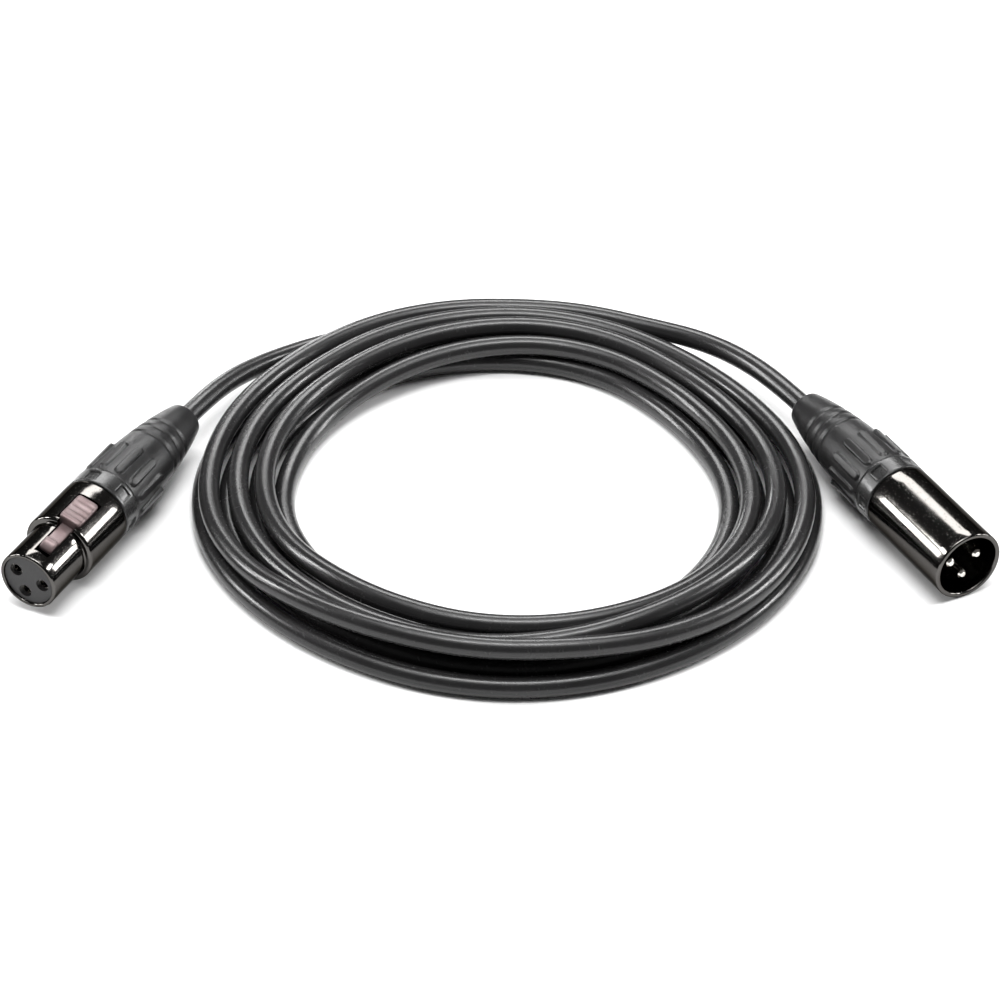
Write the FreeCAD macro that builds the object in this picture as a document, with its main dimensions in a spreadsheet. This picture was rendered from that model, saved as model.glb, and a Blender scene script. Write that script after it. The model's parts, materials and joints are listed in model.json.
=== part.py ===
"""Microphone cable wound in a loose coil, with a socket connector on one end and a pin connector
on the other. Millimetres, +Z up, lying on the plane z = 0.

Each connector is drawn in a frame of its own: the origin is the centre of its mating face, +X runs
back along its axis to the tip of its boot and +Z is its upper side. connector_place() says where
that frame lies on the table.
"""
import FreeCAD, Part
import Sketcher
import math
import os
import re

from FreeCAD import Placement, Rotation, Vector

SIZES = {
    # each axis's turn from +X, its body's roll, how far its face stands from the side of the coil,
    # and where the face is along Y
    "female_turn": 63.0, "female_roll": 18.0, "female_face_out": 39.17, "female_face_y": -35.6,
    "male_turn": 118.5, "male_roll": 0.0, "male_face_out": 36.37, "male_face_y": -29.6,
    # cable and its coil: an oval ring of loose turns
    "cable_d": 5.5, "coil_x": 1.0, "coil_y": 6.7, "coil_turn": -45.0, "coil_height": 10.4,
    "coil_outer_long": 81.6, "coil_outer_short": 77.0,
    "coil_inner_long": 57.0, "coil_inner_short": 53.6, "coil_round": 2.7,
    # socket connector's shell: a slim nose and a body with a spigot behind it
    "nose_bore": 6.95, "nose_wall": 1.0, "nose_length": 14.3, "nose_lip": 0.6,
    "body_bore": 7.3, "body_wall": 2.3, "body_end": 31.7, "body_lip": 0.9,
    "spigot_wall": 1.2, "spigot_end": 36.4,
    # plug connector's shell: a deep mouth round the pins, with a catch for the hook in its roof
    "mouth_gap": 0.2, "mouth_room": 0.7, "mouth_wall": 1.35, "plug_wall": 2.2, "mouth_lip": 0.5,
    "catch_width": 5.0, "catch_room": 0.2, "catch_gap": 0.1,
    # contact carriers
    "insert_recess": 0.6, "insert_end": 30.0, "fit_gap": 0.1,
    "channel_floor": 3.9, "channel_lip": 1.2, "channel_gap": 0.6,
    "key_width": 1.6, "key_depth": 1.0, "key_length": 4.0,
    # contacts, set on a circle: two a little above the axis and one at the bottom
    "contact_circle": 4.0, "contact_lift": 14.0, "contact_end": 34.6,
    "cup_radius": 1.2, "cup_bore": 0.8, "cup_depth": 3.4, "cup_mouth": 2.6,
    "socket_wall": 0.45, "socket_depth": 13.0, "socket_recess": 1.6,
    "pin_radius": 1.2, "pin_gap": 0.05, "pin_recess": 2.0, "pin_nose": 0.5,
    "pin_collar": 1.7, "pin_collar_end": 28.0,
    # latch lever, its pivot, its spring and the openings it works in
    "pivot_x": 28.5, "pivot_z": 5.4, "pivot_radius": 0.6, "pivot_gap": 0.05, "pivot_hold": 0.01,
    "pivot_hold_depth": 1.5, "lever_width": 3.6, "lever_low": 6.3, "lever_thick": 1.2,
    "lever_barrel": 1.3, "hook_front": 5.6, "hook_back": 9.0, "hook_rise": 0.85, "hook_slope": 1.6,
    "button_front": 16.0, "button_back": 25.6, "button_width": 6.2, "button_rise": 0.4,
    "button_edge": 0.6, "button_floor": 5.0, "window_gap": 0.6, "window_side_gap": 0.3,
    "slot_lead": 2.2, "slot_gap": 0.4, "slot_rise": 0.45,
    "spring_thick": 0.25, "spring_width": 2.6, "spring_front": 17.6, "spring_back": 24.4,
    "spring_lift": 0.02, "spring_bend": 0.6, "spring_clear": 0.75, "spring_tip": 1.0,
    # ground ring behind the carrier, with its solder tab
    "ring_wall": 1.1, "ring_gap": 0.1, "ring_thick": 0.5,
    "tab_inset": 0.3, "tab_width": 1.6, "tab_length": 3.6, "tab_thick": 0.4,
    # clamp jaws round the jacket
    "chuck_start": 40.0, "chuck_end": 53.0, "chuck_ring": 44.0, "chuck_wall": 3.6,
    "jaw_wall": 2.1, "jaw_slot": 1.2, "jaw_slot_start": 42.5, "jaw_count": 4.0, "cable_gap": 0.05,
    # back nut: a collar round the spigot, and a tapered sleeve round the jaws
    "collar_gap": 0.2, "collar_length": 5.7, "collar_wall": 0.9, "collar_edge": 0.6,
    "chuck_gap": 0.2, "sleeve_wall": 1.1, "sleeve_end": 52.0, "sleeve_tip_gap": 0.4,
    "grip_count": 6.0, "grip_width": 3.4, "grip_length": 3.2, "grip_depth": 0.55,
    # rubber boot: a ribbed grip and a taper, and the step inside it behind the jaws
    "boot_waist": 52.0, "boot_tip": 76.0, "boot_wall": 1.7, "boot_taper": 2.0,
    "boot_mid_length": 12.0, "boot_tip_wall": 1.9, "boot_edge": 1.2, "boot_room": 1.0,
    "rib_count": 12.0, "rib_width": 2.2, "rib_height": 0.5, "rib_rise": 0.03, "rib_end": 50.5,
    # stripped cable end inside each connector, and the straight stretch of cable at the boot's tip
    "jacket_end": 41.0, "joint_depth": 6.0, "lead_reach": 7.5,
    "core_radius": 0.65, "core_ring": 0.8775, "core_gap": 0.05, "overcut": 1.0,
}

TIES = {
    # what follows from the sizes, each written once; a name here can be used as a size's name is
    "coil_side": "sqrt((coil_outer_long * cos(coil_turn * 1deg))^2"
                 " + (coil_outer_short * sin(coil_turn * 1deg))^2)",
    "female_face_x": "coil_x - coil_side - female_face_out",
    "male_face_x": "coil_x + coil_side + male_face_out",
    "axis_height": "max(body_radius; plug_radius; collar_radius; rib_corner)",
    "rib_corner": "sqrt((boot_radius + rib_rise)^2 + (rib_width / 2)^2)",
    "nose_radius": "nose_bore + nose_wall",
    "body_radius": "body_bore + body_wall",
    "spigot_radius": "body_bore + spigot_wall",
    "mouth_radius": "nose_radius + mouth_gap",
    "mouth_depth": "nose_length + mouth_room",
    "plug_radius": "max(mouth_radius + mouth_wall; body_bore + plug_wall)",
    "carrier_radius": "body_bore - fit_gap",
    "carrier_face": "mouth_depth + fit_gap",
    "catch_start": "mouth_depth - hook_back - catch_room",
    "catch_end": "mouth_depth - hook_front + 3 * catch_room",
    "hook_top": "nose_radius + hook_rise",
    "button_top": "body_radius + button_rise",
    "slot_front": "hook_front - slot_lead",
    "slot_width": "lever_width + 2 * slot_gap",
    "slot_top": "nose_radius + slot_rise",
    "channel_width": "lever_width + 2 * channel_gap",
    "window_front": "button_front - window_gap",
    "window_back": "button_back + window_gap",
    "window_width": "button_width + 2 * window_side_gap",
    "pivot_reach": "channel_width / 2 + pivot_hold_depth",
    "lever_top": "lever_low + lever_thick",
    "spring_foot": "channel_floor + spring_lift",
    "spring_arm": "lever_low - spring_clear",
    "spring_turn": "spring_back + spring_bend",
    "spring_arm_front": "spring_front + spring_tip",
    "socket_bore": "pin_radius + pin_gap",
    "socket_radius": "socket_bore + socket_wall",
    "socket_floor": "socket_recess + socket_depth",
    "ring_bore": "carrier_radius - ring_wall",
    "ring_start": "insert_end + ring_gap",
    "ring_end": "ring_start + ring_thick",
    "cable_radius": "cable_d / 2",
    "cable_bore": "cable_radius + cable_gap",
    "chuck_radius": "cable_bore + chuck_wall",
    "chuck_tip": "cable_bore + jaw_wall",
    "collar_start": "body_end + collar_gap",
    "collar_end": "collar_start + collar_length",
    "collar_bore": "spigot_radius + fit_gap",
    "collar_radius": "collar_bore + collar_wall",
    "collar_floor": "spigot_end + fit_gap",
    "sleeve_bore": "chuck_radius + chuck_gap",
    "sleeve_radius": "sleeve_bore + sleeve_wall",
    "sleeve_tip_bore": "chuck_tip + sleeve_tip_gap",
    "boot_start": "collar_end + fit_gap",
    "boot_bore": "sleeve_radius + fit_gap",
    "boot_radius": "boot_bore + boot_wall",
    "boot_step": "sleeve_end + fit_gap",
    "boot_mouth": "chuck_end + boot_room",
    "boot_mid": "boot_tip - boot_mid_length",
    "boot_mid_radius": "boot_radius - boot_taper",
    "boot_tip_radius": "cable_bore + boot_tip_wall",
    "joint_x": "boot_tip - joint_depth",
    "lead_straight": "boot_tip + lead_reach",
}

ROUTES = {
    # each lead from where it leaves its connector's axis to the side of the coil, chosen by hand:
    # X and Y in the row's frame, and the height of the cable's underside
    "female": [
        (-72.0, 52.5, 5.35), (-63.2, 63.5, 2.85), (-52.6, 72.7, 0.95), (-40.3, 79.0, 0.35),
        (-27.1, 82.3, 0.15),
    ],
    "male": [
        (65.9, 59.4, 6.55), (54.0, 70.1, 5.7), (39.1, 77.4, 4.95), (24.5, 82.5, 5.4),
        (9.5, 85.2, 5.5),
    ],
}
RUN_SHARE = 0.45
LEAST_BEND_D = 5
CORE_STRAIGHT = 0.3
SMALL = 1e-6

doc = FreeCAD.newDocument("microphone_cable")
sheet = doc.addObject("Spreadsheet::Sheet", "sizes")
for row, (alias, value) in enumerate(SIZES.items(), start=1):
    sheet.set("A%d" % row, alias)
    sheet.set("B%d" % row, str(value))
    sheet.setAlias("B%d" % row, alias)
doc.recompute()

nodes = []


def cells(text):
    """An expression in which each tie is written out and each size points at its cell."""
    def spell(found):
        word = found[0]
        if word in TIES:
            return "(%s)" % cells(TIES[word])
        return "sizes." + word if word in SIZES else word
    return re.sub(r"[a-z_]+", spell, text)


def number(text):
    """What an expression on sizes comes to now."""
    return float(sheet.evalExpression(cells(text)))


def plane(body, role):
    """A body's own origin plane, by its role."""
    return [f for f in body.Origin.OriginFeatures if f.Role == role][0]


def new_body(label):
    """An empty body that becomes one node."""
    body = doc.addObject("PartDesign::Body", label)
    body.Label = label
    nodes.append(body)
    return body


def new_sketch(body, role, height="0"):
    """A sketch on a body's origin plane, or raised from it along the plane's normal."""
    sketch = body.newObject("Sketcher::SketchObject", "outline")
    sketch.AttachmentSupport = (plane(body, role), [""])
    sketch.MapMode = "FlatFace"
    if height != "0":
        sketch.setExpression("AttachmentOffset.Base.z", cells(height))
    return sketch


def hold_point(sketch, line, end, across, up):
    """Ties a point of a sketch to its two coordinates."""
    for kind, text, axis in (("DistanceX", across, -2), ("DistanceY", up, -1)):
        if text == "0":
            sketch.addConstraint(Sketcher.Constraint("PointOnObject", line, end, axis))
        else:
            tie = sketch.addConstraint(Sketcher.Constraint(kind, -1, 1, line, end, number(text)))
            sketch.setExpression("Constraints[%d]" % tie, cells(text))


def polygon(sketch, points):
    """A closed outline of straight lines through points given as pairs of expressions."""
    at = [Vector(number(across), number(up), 0) for across, up in points]
    count = len(points)
    for i in range(count):
        sketch.addGeometry(Part.LineSegment(at[i], at[(i + 1) % count]), False)
    for i in range(count):
        sketch.addConstraint(Sketcher.Constraint("Coincident", i, 2, (i + 1) % count, 1))
    for i, (across, up) in enumerate(points):
        hold_point(sketch, i, 1, across, up)


def circle(sketch, across, up, radius):
    """A circle with its centre and radius tied to expressions."""
    centre = Vector(number(across), number(up), 0)
    line = sketch.addGeometry(Part.Circle(centre, Vector(0, 0, 1), number(radius)), False)
    hold_point(sketch, line, 3, across, up)
    tie = sketch.addConstraint(Sketcher.Constraint("Radius", line, number(radius)))
    sketch.setExpression("Constraints[%d]" % tie, cells(radius))


def box_points(low_x, high_x, low_y, high_y):
    """The four corners of a rectangle."""
    return [(low_x, low_y), (high_x, low_y), (high_x, high_y), (low_x, high_y)]


def turned(body, points):
    """Turns a half section in the XZ plane round the connector's axis."""
    sketch = new_sketch(body, "XZ_Plane")
    polygon(sketch, points)
    feature = body.newObject("PartDesign::Revolution", "turned")
    feature.Profile = sketch
    feature.ReferenceAxis = (sketch, ["H_Axis"])
    feature.Angle = 360
    doc.recompute()
    return feature


def pad(body, sketch, length, midplane=False):
    """Thickens a sketch and checks that the body has grown."""
    before = body.Shape.Volume if body.Tip else 0.0
    feature = body.newObject("PartDesign::Pad", "pad")
    feature.Profile = sketch
    feature.setExpression("Length", cells(length))
    feature.Midplane = midplane
    doc.recompute()
    if body.Shape.Volume <= before:
        raise RuntimeError(body.Label + ": a pad added nothing")
    return feature


def pocket(body, sketch, length=None, midplane=False, reverse=False):
    """Cuts a sketch into a body and checks that something went."""
    before = body.Shape.Volume
    feature = body.newObject("PartDesign::Pocket", "pocket")
    feature.Profile = sketch
    if length is None:
        feature.Type = 1
    else:
        feature.setExpression("Length", cells(length))
    feature.Midplane = midplane
    feature.Reversed = reverse
    doc.recompute()
    if body.Shape.Volume >= before - SMALL:
        raise RuntimeError(body.Label + ": a pocket cut nothing")
    return feature


def around(body, feature, count):
    """Repeats a feature round the connector's axis."""
    before = body.Shape.Volume
    pattern = body.newObject("PartDesign::PolarPattern", "pattern")
    pattern.Originals = [feature]
    axis = [f for f in body.Origin.OriginFeatures if f.Role == "X_Axis"][0]
    pattern.Axis = (axis, [""])
    pattern.Angle = 360
    pattern.setExpression("Occurrences", cells(count))
    body.Tip = pattern
    doc.recompute()
    if abs(body.Shape.Volume - before) < SMALL:
        raise RuntimeError(body.Label + ": a pattern changed nothing")


CONTACTS = {
    1: ("contact_circle * cos(contact_lift * 1deg)", "contact_circle * sin(contact_lift * 1deg)"),
    2: ("-contact_circle * cos(contact_lift * 1deg)", "contact_circle * sin(contact_lift * 1deg)"),
    3: ("0", "-contact_circle"),
}


SPIGOT = [
    # the rear of a shell's half section, from the end of its body round the spigot to its bore
    ("body_end", "spigot_radius"), ("spigot_end", "spigot_radius"), ("spigot_end", "body_bore"),
]


def female_shell():
    """Die-cast shell: slim nose, body, spigot, a slot for the lever and a window for its button."""
    body = new_body("female_shell")
    turned(body, [
        ("0", "nose_bore"), ("0", "nose_radius - nose_lip"), ("nose_lip", "nose_radius"),
        ("nose_length", "nose_radius"), ("nose_length", "body_radius - body_lip"),
        ("nose_length + body_lip", "body_radius"), ("body_end", "body_radius"),
        *SPIGOT,
        ("nose_length", "body_bore"), ("nose_length", "nose_bore"),
    ])
    slot = new_sketch(body, "XY_Plane", "channel_floor")
    polygon(slot, box_points("slot_front", "window_front + overcut", "-slot_width / 2", "slot_width / 2"))
    pocket(body, slot, "slot_top - channel_floor", reverse=True)
    window = new_sketch(body, "XY_Plane", "channel_floor")
    polygon(window, box_points("window_front", "window_back", "-window_width / 2", "window_width / 2"))
    pocket(body, window, "body_radius", reverse=True)
    return body


def male_shell():
    """Die-cast shell: a deep mouth for the socket's nose, with a catch for its hook, and a spigot."""
    body = new_body("male_shell")
    turned(body, [
        ("0", "mouth_radius + mouth_lip"), ("0", "plug_radius - mouth_lip"), ("mouth_lip", "plug_radius"),
        ("body_end - mouth_lip", "plug_radius"), ("body_end", "plug_radius - mouth_lip"),
        *SPIGOT,
        ("mouth_depth", "body_bore"), ("mouth_depth", "mouth_radius"), ("mouth_lip", "mouth_radius"),
    ])
    catch = new_sketch(body, "XY_Plane", "mouth_radius - overcut")
    polygon(catch, box_points("catch_start", "catch_end", "-catch_width / 2", "catch_width / 2"))
    pocket(body, catch, "hook_top + catch_gap - mouth_radius + overcut", reverse=True)
    return body


def contact_holes(body, radius, start, length):
    """Three holes for the contacts, cut backwards from a place on the axis."""
    for across, up in CONTACTS.values():
        hole = new_sketch(body, "YZ_Plane", start)
        circle(hole, across, up, radius)
        pocket(body, hole, length, reverse=True)


def key_slot(body):
    """The slot in a carrier's lower edge that keys it to its shell."""
    key = new_sketch(body, "XY_Plane", "-body_bore")
    polygon(key, box_points(
        "insert_end - key_length", "insert_end + overcut", "-key_width / 2", "key_width / 2"))
    pocket(body, key, "key_depth", reverse=True)


def female_insert():
    """Moulded carrier of the three sockets, with the lever's channel in its top."""
    body = new_body("female_insert")
    turned(body, [
        ("insert_recess", "0"), ("insert_recess", "nose_bore - fit_gap"),
        ("nose_length + fit_gap", "nose_bore - fit_gap"), ("nose_length + fit_gap", "carrier_radius"),
        ("insert_end", "carrier_radius"), ("insert_end", "0"),
    ])
    channel = new_sketch(body, "XY_Plane", "channel_floor")
    polygon(channel, box_points(
        "insert_recess + channel_lip", "insert_end + overcut", "-channel_width / 2", "channel_width / 2"))
    pocket(body, channel, "body_bore", reverse=True)
    recess = new_sketch(body, "XY_Plane", "button_floor")
    polygon(recess, box_points("window_front", "window_back", "-window_width / 2", "window_width / 2"))
    pocket(body, recess, "body_bore", reverse=True)
    contact_holes(body, "socket_radius + fit_gap / 2", "0", "insert_end + overcut")
    bearing = new_sketch(body, "XZ_Plane")
    circle(bearing, "pivot_x", "pivot_z", "pivot_radius + pivot_hold")
    pocket(body, bearing, "2 * (pivot_reach + overcut)", midplane=True)
    key_slot(body)
    return body


def male_insert():
    """Moulded carrier of the three pins: its face is the floor of the mouth."""
    body = new_body("male_insert")
    turned(body, [
        ("carrier_face", "0"), ("carrier_face", "carrier_radius"),
        ("insert_end", "carrier_radius"), ("insert_end", "0"),
    ])
    contact_holes(body, "pin_radius + fit_gap / 2", "0", "insert_end + overcut")
    contact_holes(body, "pin_collar + fit_gap / 2", "0", "pin_collar_end + fit_gap / 2")
    key_slot(body)
    return body


def open_cup(body):
    """Hollows a contact's rear end into a solder cup and opens its upper side."""
    bore = new_sketch(body, "YZ_Plane", "contact_end - cup_depth")
    circle(bore, "0", "0", "cup_bore")
    pocket(body, bore, "cup_depth + overcut", reverse=True)
    mouth = new_sketch(body, "XY_Plane")
    polygon(mouth, box_points(
        "contact_end - cup_mouth", "contact_end + overcut", "-cup_radius", "cup_radius"))
    pocket(body, mouth, "cup_radius", reverse=True)


def socket_contact(number_on_face):
    """Turned socket: a blind bore in front and a solder cup behind."""
    body = new_body("female_contact_%d" % number_on_face)
    turned(body, [
        ("socket_recess", "socket_bore"), ("socket_recess", "socket_radius"),
        ("insert_end", "socket_radius"), ("insert_end", "cup_radius"), ("contact_end", "cup_radius"),
        ("contact_end", "0"), ("socket_floor", "0"), ("socket_floor", "socket_bore"),
    ])
    open_cup(body)
    return body


def pin_contact(number_on_face):
    """Turned pin: a bevelled tip, a collar held in the carrier and a solder cup behind."""
    body = new_body("male_pin_%d" % number_on_face)
    turned(body, [
        ("pin_recess", "0"), ("pin_recess", "pin_radius - pin_nose"), ("pin_recess + pin_nose", "pin_radius"),
        ("carrier_face", "pin_radius"), ("carrier_face", "pin_collar"),
        ("pin_collar_end", "pin_collar"), ("pin_collar_end", "cup_radius"),
        ("contact_end", "cup_radius"), ("contact_end", "0"),
    ])
    open_cup(body)
    return body


def latch():
    """Sprung lever: a barrel on the pivot, a button in the window and a hook on a flat bar."""
    body = new_body("female_latch")
    side = new_sketch(body, "XZ_Plane")
    polygon(side, [
        ("hook_front", "lever_low"), ("pivot_x", "lever_low - lever_barrel"),
        ("pivot_x + lever_barrel", "pivot_z - lever_barrel / 2"),
        ("pivot_x + lever_barrel", "pivot_z + lever_barrel / 2"),
        ("pivot_x", "pivot_z + lever_barrel"), ("button_back - button_edge", "pivot_z + lever_barrel"),
        ("button_back - button_edge", "lever_top"), ("hook_back", "lever_top"), ("hook_back", "hook_top"),
        ("hook_front + hook_slope", "hook_top"), ("hook_front", "lever_top"),
    ])
    pad(body, side, "lever_width", midplane=True)
    button = new_sketch(body, "XZ_Plane")
    polygon(button, [
        ("button_front", "lever_low"), ("button_back", "lever_low"),
        ("button_back", "button_top - button_edge"), ("button_back - button_edge", "button_top"),
        ("button_front + button_edge", "button_top"), ("button_front", "button_top - button_edge"),
    ])
    pad(body, button, "button_width", midplane=True)
    bearing = new_sketch(body, "XZ_Plane")
    circle(bearing, "pivot_x", "pivot_z", "pivot_radius + pivot_gap")
    pocket(body, bearing, "lever_width + 2 * overcut", midplane=True)
    return body


def latch_pin():
    """Steel pin that the lever turns on, held in the carrier's two cheeks."""
    body = new_body("female_latch_pin")
    end = new_sketch(body, "XZ_Plane")
    circle(end, "pivot_x", "pivot_z", "pivot_radius")
    pad(body, end, "2 * pivot_reach", midplane=True)
    return body


def latch_spring():
    """Leaf spring under the button: a flat foot on the channel's floor and an arm up to the lever."""
    body = new_body("female_latch_spring")
    side = new_sketch(body, "XZ_Plane")
    polygon(side, [
        ("spring_front", "spring_foot"), ("spring_back", "spring_foot"),
        ("spring_turn", "spring_foot + spring_thick"), ("spring_turn", "spring_foot + 3 * spring_thick"),
        ("spring_arm_front", "spring_arm"), ("spring_arm_front", "spring_arm - spring_thick"),
        ("spring_turn - spring_thick", "spring_foot + 2 * spring_thick"),
        ("spring_back - spring_thick", "spring_foot + spring_thick"),
        ("spring_front", "spring_foot + spring_thick"),
    ])
    pad(body, side, "spring_width", midplane=True)
    return body


def ground_ring(label):
    """Spring washer that joins the shell to the screen, with a solder tab bent back from it."""
    body = new_body(label)
    turned(body, [
        ("ring_start", "ring_bore"), ("ring_start", "carrier_radius"),
        ("ring_end", "carrier_radius"), ("ring_end", "ring_bore"),
    ])
    tab = new_sketch(body, "YZ_Plane", "ring_start + ring_thick / 2")
    low = "ring_bore + tab_inset"
    polygon(tab, box_points("-tab_width / 2", "tab_width / 2", low, low + " + tab_thick"))
    pad(body, tab, "tab_length")
    return body


def chuck(label):
    """Clamp with four tapered jaws that the back nut closes on the jacket."""
    body = new_body(label)
    turned(body, [
        ("chuck_start", "cable_bore"), ("chuck_start", "chuck_radius"), ("chuck_ring", "chuck_radius"),
        ("chuck_end", "chuck_tip"), ("chuck_end", "cable_bore"),
    ])
    slot = new_sketch(body, "XY_Plane")
    polygon(slot, box_points("jaw_slot_start", "chuck_end + overcut", "-jaw_slot / 2", "jaw_slot / 2"))
    cut = pocket(body, slot, "chuck_radius + overcut", reverse=True)
    around(body, cut, "jaw_count")
    return body


def back_nut(label):
    """Back nut: a gripped collar over the shell's spigot, and a tapered sleeve round the jaws."""
    body = new_body(label)
    turned(body, [
        ("collar_start", "collar_bore"), ("collar_start", "collar_radius - collar_edge"),
        ("collar_start + collar_edge", "collar_radius"), ("collar_end - collar_edge", "collar_radius"),
        ("collar_end", "collar_radius - collar_edge"), ("collar_end", "sleeve_radius"),
        ("sleeve_end", "sleeve_radius"), ("sleeve_end", "sleeve_tip_bore"),
        ("chuck_ring", "sleeve_bore"), ("collar_floor", "sleeve_bore"), ("collar_floor", "collar_bore"),
    ])
    grip = new_sketch(body, "XY_Plane", "collar_radius - grip_depth")
    low = "(collar_start + collar_end - grip_length) / 2"
    high = "(collar_start + collar_end + grip_length) / 2"
    polygon(grip, box_points(low, high, "-grip_width / 2", "grip_width / 2"))
    cut = pocket(body, grip, "2 * grip_depth", reverse=True)
    around(body, cut, "grip_count")
    return body


def boot(label):
    """Rubber boot: a ribbed grip over the nut's sleeve, tapering to the cable."""
    body = new_body(label)
    turned(body, [
        ("boot_start", "boot_bore"), ("boot_start", "boot_radius - boot_edge / 2"),
        ("boot_start + boot_edge / 2", "boot_radius"), ("boot_waist", "boot_radius - boot_edge / 2"),
        ("boot_mid", "boot_mid_radius"), ("boot_tip - boot_edge", "boot_tip_radius"),
        ("boot_tip", "boot_tip_radius - boot_edge"), ("boot_tip", "cable_bore"),
        ("boot_mouth", "cable_bore"), ("boot_mouth", "sleeve_tip_bore"),
        ("boot_step", "sleeve_tip_bore"), ("boot_step", "boot_bore"),
    ])
    rib = new_sketch(body, "XY_Plane", "boot_radius - 2 * rib_height")
    polygon(rib, box_points("boot_start + boot_edge", "rib_end", "-rib_width / 2", "rib_width / 2"))
    raised = pad(body, rib, "2 * rib_height + rib_rise")
    around(body, raised, "rib_count")
    return body


def jacket(label):
    """The jacketed cable end that the jaws hold, from its stripped edge to the joint in the boot."""
    body = new_body(label)
    turned(body, [
        ("jacket_end", "0"), ("jacket_end", "cable_radius"), ("joint_x", "cable_radius"), ("joint_x", "0"),
    ])
    return body


def connector_place(side):
    """Where a connector's own frame lies on the table."""
    place = Vector(number(side + "_face_x"), number(side + "_face_y"), number("axis_height"))
    turn = Rotation(Vector(0, 0, 1), number(side + "_turn"))
    roll = Rotation(Vector(1, 0, 0), number(side + "_roll"))
    return Placement(place, turn * roll)


def contact_place(side, number_on_face):
    """Where a contact's own frame lies: in its hole, off the connector's axis."""
    across, up = (number(text) for text in CONTACTS[number_on_face])
    return connector_place(side) * Placement(Vector(0, across, up), Rotation())


def rounded_path(points):
    """Straight runs joined by tangent arcs, each as large as its two runs allow, and its radii."""
    edges, radii, start = [], [], points[0]
    for before, corner, after in zip(points, points[1:], points[2:]):
        back, ahead = (before - corner).normalize(), (after - corner).normalize()
        run = min((before - corner).Length, (after - corner).Length)
        turn = math.pi - back.getAngle(ahead)
        reach = RUN_SHARE * run
        radius = reach / math.tan(turn / 2)
        enter, leave = corner + back * reach, corner + ahead * reach
        middle = (back + ahead).normalize()
        top = corner + middle * (radius / math.cos(turn / 2) - radius)
        edges.append(Part.LineSegment(start, enter).toShape())
        edges.append(Part.Arc(enter, top, leave).toShape())
        radii.append(radius)
        start = leave
    edges.append(Part.LineSegment(start, points[-1]).toShape())
    return Part.Wire(edges), radii


def tube(label, points, radius):
    """A solid of round section along a rounded path."""
    path, radii = rounded_path(points)
    section = Part.Wire(Part.makeCircle(radius, points[0], points[1] - points[0]))
    solid = path.makePipeShell([section], True, False)
    piece = doc.addObject("Part::Feature", label)
    piece.Label = label
    piece.Shape = solid
    nodes.append(piece)
    share = solid.Volume / (math.pi * radius ** 2 * path.Length)
    print("%s: length %.1f, radii %s, volume / (section x length) %.4f"
          % (label, path.Length, ["%.1f" % r for r in radii], share))
    if abs(share - 1) > 0.01:
        raise RuntimeError(label + ": the tube's volume is wrong")
    return piece, radii


def core(side, number_on_face):
    """One insulated core, from the stripped jacket out to the rear of its contact's cup."""
    across, up = (number(text) for text in CONTACTS[number_on_face])
    spread = number("core_ring")
    turn = math.atan2(up, across)
    start = Vector(number("jacket_end"), spread * math.cos(turn), spread * math.sin(turn))
    end = Vector(number("contact_end + core_gap"), across, up)
    straight = Vector((start.x - end.x) * CORE_STRAIGHT, 0, 0)
    points = [start, start - straight, end + straight, end]
    piece, _ = tube("%s_core_%d" % (side, number_on_face), points, number("core_radius"))
    piece.Placement = connector_place(side)


def coil():
    """The wound turns as one closed oval ring with rounded edges."""
    ovals = []
    for name in ("outer", "inner"):
        oval = doc.addObject("Part::Ellipse", name + "_oval")
        oval.setExpression("MajorRadius", cells("coil_%s_long" % name))
        oval.setExpression("MinorRadius", cells("coil_%s_short" % name))
        wall = doc.addObject("Part::Extrusion", name + "_wall")
        wall.Base = oval
        wall.DirMode = "Custom"
        wall.Dir = Vector(0, 0, 1)
        wall.setExpression("LengthFwd", cells("coil_height"))
        wall.Solid = True
        ovals.append(wall)
    ring = doc.addObject("Part::Cut", "ring")
    ring.Base, ring.Tool = ovals
    doc.recompute()
    piece = doc.addObject("Part::Fillet", "cable_coil")
    piece.Label = "cable_coil"
    piece.Base = ring
    radius = number("coil_round")
    rims = [i for i, e in enumerate(ring.Shape.Edges, start=1) if isinstance(e.Curve, Part.Ellipse)]
    piece.Edges = [(i, radius, radius) for i in rims]
    place = Vector(number("coil_x"), number("coil_y"), 0)
    piece.Placement = Placement(place, Rotation(Vector(0, 0, 1), number("coil_turn")))
    nodes.append(piece)


def lead(side):
    """The stretch of cable between a boot and the coil: along the axis first, then its own way."""
    place = connector_place(side)
    points = [place.multVec(Vector(number(along), 0, 0)) for along in ("joint_x", "lead_straight")]
    radius = number("cable_radius")
    points += [Vector(x, y, under + radius) for x, y, under in ROUTES[side]]
    _, radii = tube(side + "_lead", points, radius)
    if min(radii) < LEAST_BEND_D * number("cable_d"):
        raise RuntimeError(side + "_lead: a bend is too tight")


def connector(side, pieces, contact):
    """Lays down one connector: its own pieces, its contacts and what both connectors share."""
    shared = {"ground_ring": ground_ring, "chuck": chuck, "back_nut": back_nut, "boot": boot,
              "jacket": jacket}
    for make in pieces:
        make().Placement = connector_place(side)
    for name, make in shared.items():
        make("%s_%s" % (side, name)).Placement = connector_place(side)
    for number_on_face in CONTACTS:
        contact(number_on_face).Placement = contact_place(side, number_on_face)
        core(side, number_on_face)


def write_parts():
    """Checks every object and writes one STEP file for each node."""
    doc.recompute()
    for item in doc.Objects:
        if {"Invalid", "Error"} & set(item.State):
            raise RuntimeError("%s is %s" % (item.Name, item.State))
    for node in nodes:
        shape = node.Shape
        if shape.isNull() or not shape.isValid() or len(shape.Solids) != 1:
            raise RuntimeError("%s is not one valid solid" % node.Label)
    os.makedirs("parts", exist_ok=True)
    for node in nodes:
        node.Shape.exportStep("parts/%s.step" % node.Label)
    print("%d nodes" % len(nodes))


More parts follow.
